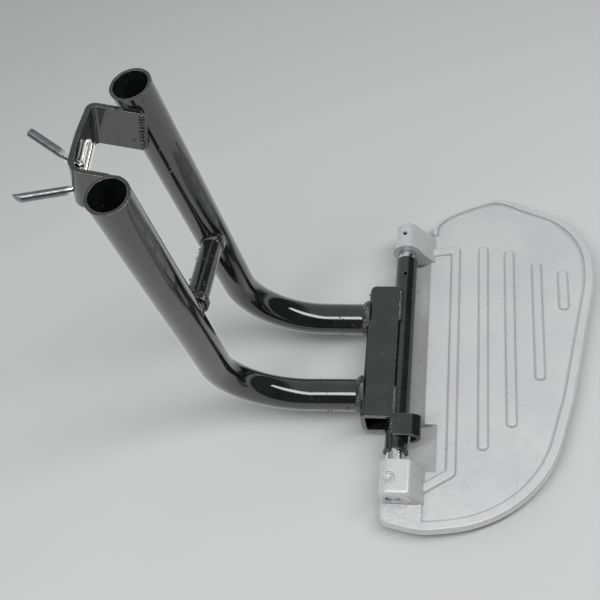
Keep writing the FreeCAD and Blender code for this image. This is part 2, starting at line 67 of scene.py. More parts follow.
MM = 0.001
BLACK_ENAMEL = (0.0065, 0.0070, 0.0072, 1)
DUSTY_ENAMEL = (0.0125, 0.0130, 0.0130, 1)
DUST = (0.20, 0.20, 0.19, 1)
# Lighter grey painted on edges: partly thin, worn enamel and partly a painted highlight.
EDGE_SHEEN_AND_WEAR = (0.17, 0.172, 0.172, 1)
ENAMEL_IOR = 1.68
GLOSS_BEST, GLOSS_WORST = 0.05, 0.11
DUST_SPECK = 0.9 * MM
DUST_HEIGHT = 0.03 * MM
HAZE_PATCH = 14 * MM
GLOSS_PATCH = 9 * MM
RIPPLE_SPAN = 16 * MM
PEEL_SPAN = 2.2 * MM
SHEEN_AND_WEAR_PATCH = 3 * MM
BEVEL_SAMPLES = 8
STILL_FLAT, FULLY_TURNED = 0.97, 0.80


def add(tree, kind, inputs=None, **settings):
    made = tree.nodes.new(kind)
    for key, value in settings.items():
        setattr(made, key, value)
    for key, value in (inputs or {}).items():
        if isinstance(value, bpy.types.NodeSocket):
            tree.links.new(value, made.inputs[key])
        else:
            made.inputs[key].default_value = value
    return made


def surface(name):
    material = bpy.data.materials.new(name)
    material.use_nodes = True
    material.node_tree.nodes.clear()
    place = add(material.node_tree, "ShaderNodeTexCoord").outputs["Object"]
    return material, material.node_tree, place


def noise(tree, place, size, detail=2.0, roughness=0.5):
    made = add(tree, "ShaderNodeTexNoise",
               {"Vector": place, "Scale": 1 / size, "Detail": detail, "Roughness": roughness})
    return made.outputs["Fac"]


def levels(tree, value, low, high, to_low=0.0, to_high=1.0):
    made = add(tree, "ShaderNodeMapRange",
               {"Value": value, "From Min": low, "From Max": high, "To Min": to_low, "To Max": to_high},
               interpolation_type="SMOOTHSTEP")
    return made.outputs["Result"]


def mix(tree, share, first, second):
    made = add(tree, "ShaderNodeMix", {0: share, 6: first, 7: second}, data_type="RGBA")
    return made.outputs[2]


def rounded_edges(tree, radius):
    return add(tree, "ShaderNodeBevel", {"Radius": radius}, samples=BEVEL_SAMPLES).outputs["Normal"]


# Share of the painted edge highlight and edge wear, in patches, where the rounded normal turns away from the
# flat one.
def edge_share(tree, rounded, place):
    flat = add(tree, "ShaderNodeNewGeometry").outputs["True Normal"]
    agree = add(tree, "ShaderNodeVectorMath", {0: rounded, 1: flat}, operation="DOT_PRODUCT").outputs["Value"]
    sharp = levels(tree, agree, STILL_FLAT, FULLY_TURNED)
    patchy = levels(tree, noise(tree, place, SHEEN_AND_WEAR_PATCH, 4.0), 0.35, 0.65, 0.12, 1.0)
    return add(tree, "ShaderNodeMath", {0: sharp, 1: patchy}, operation="MULTIPLY").outputs[0]


def bumped(tree, normal, height, depth):
    made = add(tree, "ShaderNodeBump", {"Height": height, "Distance": depth, "Strength": 1.0, "Normal": normal})
    return made.outputs["Normal"]


def shaded(tree, **inputs):
    shader = add(tree, "ShaderNodeBsdfPrincipled",
                 {key.replace("_", " "): value for key, value in inputs.items()})
    add(tree, "ShaderNodeOutputMaterial", {"Surface": shader.outputs["BSDF"]})


def black_enamel(name, edge_radius, peel_depth, ripple_depth):
    material, tree, place = surface(name)
    dust = levels(tree, noise(tree, place, DUST_SPECK, 1.0), 0.74, 0.80)
    haze = levels(tree, noise(tree, place, HAZE_PATCH, 4.0), 0.35, 0.75)
    colour = mix(tree, haze, BLACK_ENAMEL, DUSTY_ENAMEL)
    colour = mix(tree, dust, colour, DUST)
    gloss = levels(tree, noise(tree, place, GLOSS_PATCH, 3.0), 0.3, 0.8, GLOSS_BEST, GLOSS_WORST)
    normal = rounded_edges(tree, edge_radius)
    # Edges get the lighter grey: part edge wear, part painted highlight.
    colour = mix(tree, edge_share(tree, normal, place), colour, EDGE_SHEEN_AND_WEAR)
    normal = bumped(tree, normal, noise(tree, place, RIPPLE_SPAN, 1.0), ripple_depth)
    normal = bumped(tree, normal, noise(tree, place, PEEL_SPAN, 2.0), peel_depth)
    normal = bumped(tree, normal, dust, DUST_HEIGHT)
    shaded(tree, Base_Color=colour, Roughness=gloss, IOR=ENAMEL_IOR, Normal=normal)
    return material


def paint(node, material):
    skin = frame["nodes"][node].data
    skin.materials.clear()
    skin.materials.append(material)


tube_enamel = black_enamel("tube_enamel", edge_radius=0.5 * MM, peel_depth=0.012 * MM, ripple_depth=0.10 * MM)
for tube in ("rear_arm_tube", "front_arm_tube", "cross_brace"):
    paint(tube, tube_enamel)

# Mounting strap, hinge channel, hinge barrel and hook strip. Flat bar and plate bent cold, and a turned tube
# for the barrel, all under the same enamel, which stands a little thicker and rounder on their cut edges.

plate_enamel = black_enamel("plate_enamel", edge_radius=0.7 * MM, peel_depth=0.010 * MM, ripple_depth=0.05 * MM)
for plate in ("mounting_strap", "hinge_channel", "hinge_barrel", "stop_hook"):
    paint(plate, plate_enamel)

# Weld beads. Electric arc fillets laid by hand round the feet of the arms, at the brace, at the strap and along
# the barrel. Each is a row of overlapping ripples, uneven in height, sprayed over with the enamel.

FOOT_RIPPLE = 0.46 * MM
FINE_RIPPLE = 0.36 * MM
RIPPLE_PITCH = 2.0 * MM
WELD_GRID = 0.28 * MM
TUBE_RADIUS = 10.65 * MM
BRACE_RADIUS = 6.35 * MM
FOOT_SHARE = 0.62
BRACE_SHARE = 0.42
SOFTENING = 3
WANDER_SPAN = 4 * MM
WANDER_STEPS = 1.6
DOME_LEVEL = 0.65
UNEVENNESS = 2.4
MERGE_REACH = 0.002 * MM
SEED_STEP = 1.7


def node_tree(name, sockets):
    tree = bpy.data.node_groups.new(name, "GeometryNodeTree")
    tree.interface.new_socket(name="Geometry", in_out="INPUT", socket_type="NodeSocketGeometry")
    for label, kind in sockets:
        tree.interface.new_socket(name=label, in_out="INPUT", socket_type="NodeSocket" + kind)
    tree.interface.new_socket(name="Geometry", in_out="OUTPUT", socket_type="NodeSocketGeometry")
    return tree, add(tree, "NodeGroupInput").outputs


def math_node(tree, operation, first, second=0.0):
    return add(tree, "ShaderNodeMath", {0: first, 1: second}, operation=operation).outputs[0]


def vector_node(tree, operation, first, second=(0, 0, 0)):
    made = add(tree, "ShaderNodeVectorMath", {0: first, 1: second}, operation=operation)
    return made.outputs["Value" if operation in ("DOT_PRODUCT", "LENGTH") else "Vector"]


def end_tree(tree, geometry, material):
    smooth = add(tree, "GeometryNodeSetShadeSmooth", {"Geometry": geometry})
    real = add(tree, "GeometryNodeRealizeInstances", {"Geometry": smooth.outputs[0]})
    coated = add(tree, "GeometryNodeSetMaterial", {"Geometry": real.outputs[0], "Material": material})
    add(tree, "NodeGroupOutput", {"Geometry": coated.outputs[0]})


ripple_tree, given = node_tree("weld_ripples", [
    ("Centre", "Vector"), ("Along", "Vector"), ("Start", "Vector"), ("Radius", "Float"),
    ("Pitch", "Float"), ("Height", "Float"), ("Ring", "Bool"), ("Seed", "Float"), ("Coat", "Material"),
])
position = add(ripple_tree, "GeometryNodeInputPosition").outputs[0]
softened = add(ripple_tree, "GeometryNodeBlurAttribute", {"Value": position, "Iterations": SOFTENING},
               data_type="FLOAT_VECTOR")
soft_bead = add(ripple_tree, "GeometryNodeSetPosition",
                {"Geometry": given["Geometry"], "Position": softened.outputs["Value"]})
from_centre = vector_node(ripple_tree, "SUBTRACT", position, given["Centre"])
run_along = vector_node(ripple_tree, "DOT_PRODUCT", from_centre, given["Along"])
sideways = vector_node(ripple_tree, "CROSS_PRODUCT", given["Along"], given["Start"])
turned = math_node(ripple_tree, "ARCTAN2", vector_node(ripple_tree, "DOT_PRODUCT", from_centre, sideways),
                   vector_node(ripple_tree, "DOT_PRODUCT", from_centre, given["Start"]))
run_round = math_node(ripple_tree, "MULTIPLY", turned, given["Radius"])
off_line = vector_node(ripple_tree, "LENGTH", vector_node(ripple_tree, "CROSS_PRODUCT", from_centre,
                                                         given["Along"]))
run = add(ripple_tree, "GeometryNodeSwitch", {0: given["Ring"], 1: run_along, 2: run_round},
          input_type="FLOAT").outputs[0]
across = add(ripple_tree, "GeometryNodeSwitch",
             {0: given["Ring"], 1: off_line, 2: math_node(ripple_tree, "ABSOLUTE", run_along)},
             input_type="FLOAT").outputs[0]
wander = add(ripple_tree, "ShaderNodeTexNoise",
             {"Vector": position, "W": given["Seed"], "Scale": 1 / WANDER_SPAN, "Detail": 2.0},
             noise_dimensions="4D").outputs[0]
steps = math_node(ripple_tree, "DIVIDE", math_node(ripple_tree, "ADD", run, across), given["Pitch"])
steps = math_node(ripple_tree, "ADD", steps, math_node(ripple_tree, "MULTIPLY", wander, WANDER_STEPS))
saw = math_node(ripple_tree, "SUBTRACT", math_node(ripple_tree, "MULTIPLY",
                                                   math_node(ripple_tree, "FRACT", steps), 2.0), 1.0)
dome = math_node(ripple_tree, "SUBTRACT", DOME_LEVEL, math_node(ripple_tree, "MULTIPLY", saw, saw))
uneven = math_node(ripple_tree, "MULTIPLY", math_node(ripple_tree, "SUBTRACT", wander, 0.5), UNEVENNESS)
lift = math_node(ripple_tree, "MULTIPLY", math_node(ripple_tree, "ADD", dome, uneven), given["Height"])
outward = add(ripple_tree, "GeometryNodeInputNormal").outputs[0]
offset = add(ripple_tree, "ShaderNodeVectorMath", {0: outward, "Scale": lift}, operation="SCALE")
rippled = add(ripple_tree, "GeometryNodeSetPosition",
              {"Geometry": soft_bead.outputs[0], "Offset": offset.outputs["Vector"]})
end_tree(ripple_tree, rippled.outputs[0], given["Coat"])


def link(name, mesh):
    piece = bpy.data.objects.new(name, mesh)
    bpy.context.scene.collection.objects.link(piece)
    return piece


def welded_copy(nodes):
    shape = bmesh.new()
    for node in nodes:
        shape.from_mesh(frame["nodes"][node].data)
    bmesh.ops.remove_doubles(shape, verts=shape.verts, dist=MERGE_REACH)
    return shape


def drawn_in(shape, centre, along, radius, share):
    for vertex in shape.verts:
        out = vertex.co - centre
        out -= along * out.dot(along)
        if out.length > radius:
            vertex.co -= out * (1 - radius / out.length) * (1 - share)


def bead_source(node, centre, along, radius, share):
    shape = welded_copy([node])
    drawn_in(shape, centre, along, radius, share)
    mesh = bpy.data.meshes.new(node + "_source")
    shape.to_mesh(mesh)
    shape.free()
    piece = link(node + "_source", mesh)
    grid = piece.modifiers.new("grid", "REMESH")
    grid.mode = "VOXEL"
    grid.voxel_size = WELD_GRID
    return piece


def grown(source, name, tree, values):
    modifier = source.modifiers.new("growth", "NODES")
    modifier.node_group = tree
    for label, value in values.items():
        modifier[tree.interface.items_tree[label].identifier] = value
    graph = bpy.context.evaluated_depsgraph_get()
    mesh = bpy.data.meshes.new_from_object(source.evaluated_get(graph))
    mesh.name = name
    bpy.data.objects.remove(source)
    return link(name, mesh)


def middle(node):
    low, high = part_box(node)
    return (low + high) / 2


weld_enamel = black_enamel("weld_enamel", edge_radius=0.2 * MM, peel_depth=0.03 * MM, ripple_depth=0.05 * MM)
strap_up = Vector(next(m["axis"] for m in frame["record"]["mounts"] if m["name"] == "frame_tube_clamp"))
brace_way = (middle("brace_weld_front") - middle("brace_weld_rear")).normalized()
outboard = Vector((1, 0, 0))
rearward = Vector((0, 1, 0))
upward = Vector((0, 0, 1))
bead_runs = [
    ("rear_foot_weld", middle("rear_foot_weld"), outboard, upward, TUBE_RADIUS, FOOT_SHARE),
    ("front_foot_weld", middle("front_foot_weld"), outboard, upward, TUBE_RADIUS, FOOT_SHARE),
    ("brace_weld_rear", middle("cross_brace"), brace_way, outboard, BRACE_RADIUS, BRACE_SHARE),
    ("brace_weld_front", middle("cross_brace"), brace_way, outboard, BRACE_RADIUS, BRACE_SHARE),
    ("strap_weld_rear", middle("strap_weld_rear"), strap_up, outboard, TUBE_RADIUS, None),
    ("strap_weld_front", middle("strap_weld_front"), strap_up, outboard, TUBE_RADIUS, None),
    ("seam_weld_front", middle("seam_weld_front"), rearward, outboard, TUBE_RADIUS, None),
    ("seam_weld_rear", middle("seam_weld_rear"), rearward, outboard, TUBE_RADIUS, None),
    ("lower_weld_front", middle("lower_weld_front"), rearward, outboard, TUBE_RADIUS, None),
    ("lower_weld_rear", middle("lower_weld_rear"), rearward, outboard, TUBE_RADIUS, None),
    ("hook_weld", middle("hook_weld"), rearward, outboard, TUBE_RADIUS, None),
]
rippled_beads = []
for count, (node, centre, along, start, radius, share) in enumerate(bead_runs):
    ring = share is not None
    source = bead_source(node, centre, along, radius, share if ring else 1.0)
    bead = grown(source, node + "_ripples", ripple_tree, {
        "Centre": centre, "Along": along, "Start": start, "Radius": radius, "Pitch": RIPPLE_PITCH,
        "Height": FOOT_RIPPLE if radius == TUBE_RADIUS else FINE_RIPPLE, "Ring": ring,
        "Seed": SEED_STEP * count, "Coat": weld_enamel,
    })
    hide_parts(node)
    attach(bead, "bracket")
    rippled_beads.append(bead)

# Weld spatter. Small beads of steel thrown out by the arc, which stick to the metal near each weld and are
# painted over. They lie only on open outer faces, thickest beside the beads.

SPATTER_REACH = 11 * MM
SPATTER_DENSITY = 32000.0
SPATTER_SMALL = 0.18 * MM
SPATTER_LARGE = 0.80 * MM
OPEN_FACE_REACH = 25 * MM
RAY_LIFT = 0.05 * MM
SPATTER_FALL = 2.0
SPATTER_SEED = 4

spatter_tree, given = node_tree("weld_spatter", [
    ("Welds", "Object"), ("Reach", "Float"), ("Density", "Float"), ("Smallest", "Float"),
    ("Largest", "Float"), ("Seed", "Int"), ("Coat", "Material"),
])
welds = add(spatter_tree, "GeometryNodeObjectInfo", {"Object": given["Welds"]})
near = add(spatter_tree, "GeometryNodeProximity", {0: welds.outputs["Geometry"]}, target_element="FACES")
closeness = add(spatter_tree, "ShaderNodeMapRange",
                {"Value": near.outputs["Distance"], "From Min": given["Reach"], "From Max": 0.0})
crowding = math_node(spatter_tree, "POWER", closeness.outputs[0], SPATTER_FALL)
density = math_node(spatter_tree, "MULTIPLY", crowding, given["Density"])
points = add(spatter_tree, "GeometryNodeDistributePointsOnFaces",
             {"Mesh": given["Geometry"], "Density": density, "Seed": given["Seed"]})
size = add(spatter_tree, "FunctionNodeRandomValue",
           {2: given["Smallest"], 3: given["Largest"], "Seed": given["Seed"]}, data_type="FLOAT")
drop = add(spatter_tree, "GeometryNodeMeshIcoSphere", {"Radius": 1.0, "Subdivisions": 2})
drops = add(spatter_tree, "GeometryNodeInstanceOnPoints",
            {"Points": points.outputs["Points"], "Instance": drop.outputs["Mesh"],
             "Rotation": points.outputs["Rotation"], "Scale": size.outputs[1]})
end_tree(spatter_tree, drops.outputs[0], given["Coat"])


def open_faces(nodes, name):
    shape = welded_copy(nodes)
    tree = BVHTree.FromBMesh(shape)
    hidden = []
    for face in shape.faces:
        from_here = face.calc_center_median() + face.normal * RAY_LIFT
        if tree.ray_cast(from_here, face.normal, OPEN_FACE_REACH)[0] is not None:
            hidden.append(face)
    bmesh.ops.delete(shape, geom=hidden, context="FACES")
    mesh = bpy.data.meshes.new(name)
    shape.to_mesh(mesh)
    shape.free()
    return link(name, mesh)


joined_beads = bmesh.new()
for bead in rippled_beads:
    joined_beads.from_mesh(bead.data)
bead_mesh = bpy.data.meshes.new("all_beads")
joined_beads.to_mesh(bead_mesh)
joined_beads.free()
all_beads = link("all_beads", bead_mesh)
spatter_host = open_faces(["rear_arm_tube", "front_arm_tube", "cross_brace", "hinge_channel", "hinge_barrel",
                           "mounting_strap"], "spatter_host")
spatter = grown(spatter_host, "weld_spatter", spatter_tree, {
    "Welds": all_beads, "Reach": SPATTER_REACH, "Density": SPATTER_DENSITY, "Smallest": SPATTER_SMALL,
    "Largest": SPATTER_LARGE, "Seed": SPATTER_SEED, "Coat": weld_enamel,
})
bpy.data.objects.remove(all_beads)
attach(spatter, "bracket")

# Split pin through the back of the strap. Half-round steel wire folded to an eye, zinc plated; the eye still
# shines, and the two legs are dull and scraped along their length where they were spread.

EYE_STEEL = (0.66, 0.66, 0.64, 1)
LEG_STEEL = (0.20, 0.205, 0.21, 1)
LEG_DARK = (0.13, 0.135, 0.14, 1)
EYE_GLOSS, LEG_GLOSS = 0.14, 0.34
EYE_TO_LEG = 4 * MM
SCRAPE_SPAN = 0.8 * MM
SCRAPE_DEPTH = 0.008 * MM
SCRAPE_STRETCH = (0.12, 1.0, 1.0)
WIRE_ROUND = 0.9 * MM
GRAIN_SPAN = 0.25 * MM
GRAIN_DEPTH = 0.006 * MM
EYE_DEPTH = 3 * MM
eye_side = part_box("mounting_strap")[0].x + EYE_DEPTH


def bright_steel(name, light, dark, grain_size, gloss_low, gloss_high, edge_radius):
    material, tree, place = surface(name)
    patches = levels(tree, noise(tree, place, grain_size, 4.0), 0.32, 0.70)
    fine = noise(tree, place, GRAIN_SPAN, 2.0)
    colour = mix(tree, patches, light, dark)
    gloss = levels(tree, noise(tree, place, 2 * grain_size, 3.0), 0.3, 0.7, gloss_low, gloss_high)
    normal = bumped(tree, rounded_edges(tree, edge_radius), fine, GRAIN_DEPTH)
    shaded(tree, Base_Color=colour, Metallic=1.0, Roughness=gloss, Normal=normal)
    return material


split_pin_steel, pin_tree, pin_place = surface("split_pin_steel")
across_strap = add(pin_tree, "ShaderNodeSeparateXYZ", {0: pin_place}).outputs["X"]
on_leg = levels(pin_tree, across_strap, eye_side, eye_side - EYE_TO_LEG)
scrape_place = add(pin_tree, "ShaderNodeMapping", {"Vector": pin_place, "Scale": SCRAPE_STRETCH},
                   vector_type="POINT").outputs[0]
scrapes = levels(pin_tree, noise(pin_tree, scrape_place, SCRAPE_SPAN, 4.0), 0.35, 0.68)
leg_colour = mix(pin_tree, scrapes, LEG_STEEL, LEG_DARK)
pin_colour = mix(pin_tree, on_leg, EYE_STEEL, leg_colour)
pin_gloss = levels(pin_tree, on_leg, 0.0, 1.0, EYE_GLOSS, LEG_GLOSS)
pin_normal = rounded_edges(pin_tree, WIRE_ROUND)
pin_normal = bumped(pin_tree, pin_normal, scrapes, SCRAPE_DEPTH)
shaded(pin_tree, Base_Color=pin_colour, Metallic=1.0, Roughness=pin_gloss, Normal=pin_normal)
paint("split_pin", split_pin_steel)

# Hinge pin and its grub screw. A ground steel pin pressed into the lugs of the board, bright where it shows
# beside the barrel, and a plated socket screw sunk in the front lug. Inside the barrel and the rear lug the pin
# is
# painted near black: partly grease and partly painted shade of the enclosed bore.

GROUND_STEEL = (0.70, 0.71, 0.71, 1)
STAINED_STEEL = (0.50, 0.51, 0.51, 1)
GREASE_AND_SHADE = (0.012, 0.011, 0.010, 1)
SCREW_ZINC = (0.62, 0.62, 0.62, 1)
SCREW_DULL = (0.40, 0.40, 0.40, 1)
SHOWN_STRETCH = 8 * MM
STAIN_PATCH = 3 * MM
POLISH_PATCH = 6 * MM
POLISH_BEST, POLISH_WORST = 0.16, 0.30
PIN_ROUND = 0.3 * MM
GREASE_AND_SHADE_FADE = 1 * MM
barrel_low, barrel_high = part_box("hinge_barrel")
pin_low, pin_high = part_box("hinge_pin")

pin_material, shaft_tree, shaft_place = surface("hinge_pin_steel")
along_pin = add(shaft_tree, "ShaderNodeSeparateXYZ", {0: shaft_place}).outputs["Y"]
# Masks for where the pin is painted near black inside the barrel and the rear lug: grease and painted shade.
in_barrel = math_node(shaft_tree, "MULTIPLY",
                      levels(shaft_tree, along_pin, barrel_low.y, barrel_low.y + GREASE_AND_SHADE_FADE),
                      levels(shaft_tree, along_pin, barrel_high.y, barrel_high.y - GREASE_AND_SHADE_FADE))
in_rear_lug = levels(shaft_tree, along_pin, barrel_high.y + SHOWN_STRETCH,
                     barrel_high.y + SHOWN_STRETCH + GREASE_AND_SHADE_FADE)
greased_and_shaded = math_node(shaft_tree, "MAXIMUM", in_barrel, in_rear_lug)
stains = levels(shaft_tree, noise(shaft_tree, shaft_place, STAIN_PATCH, 4.0), 0.32, 0.70)
shaft_colour = mix(shaft_tree, stains, GROUND_STEEL, STAINED_STEEL)
# Near black inside the barrel and the rear lug: partly grease, partly painted shade of the bore.
shaft_colour = mix(shaft_tree, greased_and_shaded, shaft_colour, GREASE_AND_SHADE)
shaft_gloss = levels(shaft_tree, noise(shaft_tree, shaft_place, POLISH_PATCH, 3.0), 0.3, 0.7,
                     POLISH_BEST, POLISH_WORST)
shaft_normal = bumped(shaft_tree, rounded_edges(shaft_tree, PIN_ROUND),
                      noise(shaft_tree, shaft_place, GRAIN_SPAN), GRAIN_DEPTH)
shaded(shaft_tree, Base_Color=shaft_colour, Metallic=1.0, Roughness=shaft_gloss, Normal=shaft_normal)
paint("hinge_pin", pin_material)
paint("set_screw", bright_steel("set_screw_zinc", SCREW_ZINC, SCREW_DULL, grain_size=1.5 * MM,
                                gloss_low=0.25, gloss_high=0.42, edge_radius=0.2 * MM))

# End of the hinge pin in the front lug. The steel pin is pressed home until its ground, slightly domed end
# stands just inside the mouth of the lug's bore, where it shows as a bright disc.

PIN_SUNK = 3.5 * MM
END_RADIUS = 4.75 * MM
PIN_SIDES = 64
MOUTH_INSET = 1.2 * MM
END_DOME = 0.5 * MM
PIN_LAP = 0.5 * MM
pin_centre = (pin_low + pin_high) / 2
crown = pin_low.y - PIN_SUNK + MOUTH_INSET
pin_rings = [(pin_low.y + PIN_LAP, 1.0), (crown + END_DOME, 1.0), (crown + 0.3 * END_DOME, 0.9), (crown, 0.6)]
end_shape = bmesh.new()
circles = []
for station, share in pin_rings:
    circle = []
    for side in range(PIN_SIDES):
        bearing = 2 * math.pi * side / PIN_SIDES
        circle.append(end_shape.verts.new((pin_centre.x + share * END_RADIUS * math.cos(bearing), station,
                                           pin_centre.z + share * END_RADIUS * math.sin(bearing))))
    circles.append(circle)
for circle, next_circle in zip(circles, circles[1:]):
    for side in range(PIN_SIDES):
        after = (side + 1) % PIN_SIDES
        end_shape.faces.new((circle[side], circle[after], next_circle[after], next_circle[side]))
end_shape.faces.new(circles[0])
end_shape.faces.new(circles[-1])
bmesh.ops.recalc_face_normals(end_shape, faces=end_shape.faces)
for face in end_shape.faces:
    face.smooth = True
end_mesh = bpy.data.meshes.new("pin_end")
end_shape.to_mesh(end_mesh)
end_shape.free()
end_mesh.materials.append(bright_steel("pin_end_steel", GROUND_STEEL, STAINED_STEEL, grain_size=2.5 * MM,
                                       gloss_low=0.24, gloss_high=0.40, edge_radius=0.2 * MM))
pin_end = link("pin_end", end_mesh)
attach(pin_end, "board")

# Footboard. One aluminium casting with its lugs, lip, rim and ribs, sprayed with satin silver-grey paint. The
# cast skin shows faintly through the paint as pebbled grain, roughest on the shelf beside the front lug.

SILVER = (0.455, 0.455, 0.460, 1)
SILVER_LOW = (0.415, 0.416, 0.424, 1)
SILVER_WORN = (0.60, 0.60, 0.60, 1)
SATIN_BEST, SATIN_WORST = 0.27, 0.38
CLOUD_PATCH = 45 * MM
FLECK_SPAN = 0.5 * MM
SATIN_PATCH = 6 * MM
CAST_SPAN, CAST_DEPTH = 1.6 * MM, 0.012 * MM
SWELL_SPAN, SWELL_DEPTH = 22 * MM, 0.10 * MM
PIT_SPAN, PIT_DEPTH = 2.6 * MM, 0.10 * MM
BOARD_ROUND = 0.9 * MM
SHELF_LENGTH, SHELF_FADE = 14 * MM, 26 * MM
SHELF_WIDTH, SHELF_SIDE_FADE = 22 * MM, 42 * MM

silver_paint, board_tree, board_place = surface("board_silver")
clouds = levels(board_tree, noise(board_tree, board_place, CLOUD_PATCH, 3.0), 0.30, 0.72)
flecks = levels(board_tree, noise(board_tree, board_place, FLECK_SPAN, 1.0), 0.45, 0.75, 0.0, 0.35)
board_colour = mix(board_tree, clouds, SILVER, SILVER_LOW)
board_colour = mix(board_tree, flecks, board_colour, SILVER_WORN)
cast_grain = noise(board_tree, board_place, CAST_SPAN, 3.0, 0.6)
low_swell = noise(board_tree, board_place, SWELL_SPAN, 2.0)
board_axes = add(board_tree, "ShaderNodeSeparateXYZ", {0: board_place})
board_low, board_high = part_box("footboard")
near_front = levels(board_tree, board_axes.outputs["Y"], board_low.y + SHELF_FADE,
                    board_low.y + SHELF_LENGTH)
near_hinge = levels(board_tree, board_axes.outputs["X"], board_low.x + SHELF_SIDE_FADE,
                    board_low.x + SHELF_WIDTH)
shelf_share = math_node(board_tree, "MULTIPLY", near_front, near_hinge)
pits = levels(board_tree, noise(board_tree, board_place, PIT_SPAN, 3.0), 0.40, 0.62)
pit_height = math_node(board_tree, "MULTIPLY", pits, shelf_share)
board_normal = rounded_edges(board_tree, BOARD_ROUND)
board_normal = bumped(board_tree, board_normal, low_swell, SWELL_DEPTH)
board_normal = bumped(board_tree, board_normal, cast_grain, CAST_DEPTH)
board_normal = bumped(board_tree, board_normal, pit_height, PIT_DEPTH)
board_gloss = levels(board_tree, noise(board_tree, board_place, SATIN_PATCH, 3.0), 0.3, 0.7,
                     SATIN_BEST, SATIN_WORST)
shaded(board_tree, Base_Color=board_colour, Metallic=0.15, Roughness=board_gloss, Normal=board_normal)

# Rear inboard side of the board. The casting runs in one even curve from the rear lug to its highest point,
# and its rim narrows toward the lug. The solid's side is swelled outward, the rim's inner edge more than its
# outer one.

SIDE_START = Vector((134.08, 127.10, 0)) * MM
SIDE_END = Vector((181.08, 154.60, 0)) * MM
NEXT_END = Vector((245.08, 129.80, 0)) * MM
CORNER_RADIUS = 20.4 * MM
RIM_WIDTH = 6.2 * MM
OUTER_SWELL, OUTER_LENGTH, OUTER_SKEW = 4.1 * MM, 56 * MM, 0.58
INNER_SWELL, INNER_LENGTH, INNER_SKEW = 8.3 * MM, 72 * MM, 0.50
CUT_STEP = 2 * MM
FADE_START = 10 * MM
FADE_END = 16 * MM
CUT_SNAP = 0.001 * MM
CREASE = math.radians(28)

side_way = (SIDE_END - SIDE_START).normalized()
side_out = Vector((-side_way.y, side_way.x, 0))
next_way = (NEXT_END - SIDE_END).normalized()
next_out = Vector((-next_way.y, next_way.x, 0))
corner_reach = CORNER_RADIUS * math.tan(side_way.angle(next_way) / 2)
corner_centre = SIDE_END - side_way * corner_reach - side_out * CORNER_RADIUS


def depth_inside(spot):
    away = spot - corner_centre
    if away.dot(side_way) < 0:
        return CORNER_RADIUS - away.dot(side_out)
    if away.dot(next_way) > 0:
        return CORNER_RADIUS - away.dot(next_out)
    return CORNER_RADIUS - away.length


def swell(station, height, length, skew):
    if not 0 < station < length:
        return 0.0
    return height * math.sin(math.pi * (station / length) ** skew)


def flat_spot(vertex):
    return Vector((vertex.co.x, vertex.co.y, 0))


def near_side(face):
    for vertex in face.verts:
        spot = flat_spot(vertex)
        beside = -CUT_STEP < (spot - SIDE_START).dot(side_way) < INNER_LENGTH + CUT_STEP
        if beside and depth_inside(spot) < FADE_START:
            return True
    return False


board_shape = welded_copy(["footboard"])
for cut in range(int(INNER_LENGTH / CUT_STEP) + 1):
    faces = [face for face in board_shape.faces if near_side(face)]
    edges = list(dict.fromkeys(edge for face in faces for edge in face.edges))
    verts = list(dict.fromkeys(vertex for face in faces for vertex in face.verts))
    bmesh.ops.bisect_plane(board_shape, geom=verts + edges + faces, dist=CUT_SNAP,
                           plane_co=SIDE_START + side_way * CUT_STEP * cut, plane_no=side_way)
for vertex in board_shape.verts:
    spot = flat_spot(vertex)
    station = (spot - SIDE_START).dot(side_way)
    depth = depth_inside(spot)
    if not 0 < station < INNER_LENGTH or depth > FADE_END:
        continue
    inner_share = min(max(depth / RIM_WIDTH, 0.0), 1.0)
    fade = min((FADE_END - depth) / (FADE_END - FADE_START), 1.0)
    outer = swell(station, OUTER_SWELL, OUTER_LENGTH, OUTER_SKEW)
    inner = swell(station, INNER_SWELL, INNER_LENGTH, INNER_SKEW)
    vertex.co += side_out * fade * (outer + (inner - outer) * inner_share)
    vertex.co.y = min(vertex.co.y, board_high.y)
bmesh.ops.triangulate(board_shape, faces=[face for face in board_shape.faces if len(face.verts) > 4])
for face in board_shape.faces:
    face.smooth = True
for edge in board_shape.edges:
    edge.smooth = edge.is_manifold and edge.calc_face_angle(0.0) < CREASE
cast_mesh = bpy.data.meshes.new("footboard_cast")
board_shape.to_mesh(cast_mesh)
board_shape.free()
cast_mesh.materials.append(silver_paint)
board_casting = link("footboard_cast", cast_mesh)
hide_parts("footboard")
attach(board_casting, "board")

# Studio. A plain pale floor just under the part that fades into the wall far off, a pale side behind and to the
# left for the enamel to mirror, a dark one toward the camera and the right, a long soft box and the camera.

FLOOR_PALE = (0.80, 0.80, 0.80, 1)
FLOOR_SEEN = (0.47, 0.475, 0.475, 1)
WALL_SEEN = (0.50, 0.505, 0.505, 1)
FLOOR_HALF = 4.0
FLOOR_MIRRORED = 0.45
FADE_NEAR = 0.7
FADE_FAR = 1.7
FLOOR_GAP = 0.3 * MM
PAPER_SPAN, PAPER_DEPTH = 1.5 * MM, 0.01 * MM
WHITE = (1, 1, 1, 1)
SKY_TINT = (0.98, 1.0, 0.995, 1)
SKY_DARK, SKY_BRIGHT = 0.06, 0.66
BEHIND_FROM, BEHIND_FULL = -0.34, -0.14
LEFT_FROM, LEFT_FULL = 0.50, 0.10
BOX_PLACE = (0.20, -0.19, 0.68)
BOX_TARGET = (0.10, 0.0, -0.20)
BOX_WIDTH, BOX_LENGTH, BOX_RADIANCE = 0.25, 2.00, 8.8
EYE_LENS, SENSOR = 50.31, 36
EYE_SHIFT = (-0.03255, 0.0324)
EYE_PLACE = (0.160096, -0.257752, 0.281733)
EYE_TURN = (31.8373, 8.1809, 5.9404)

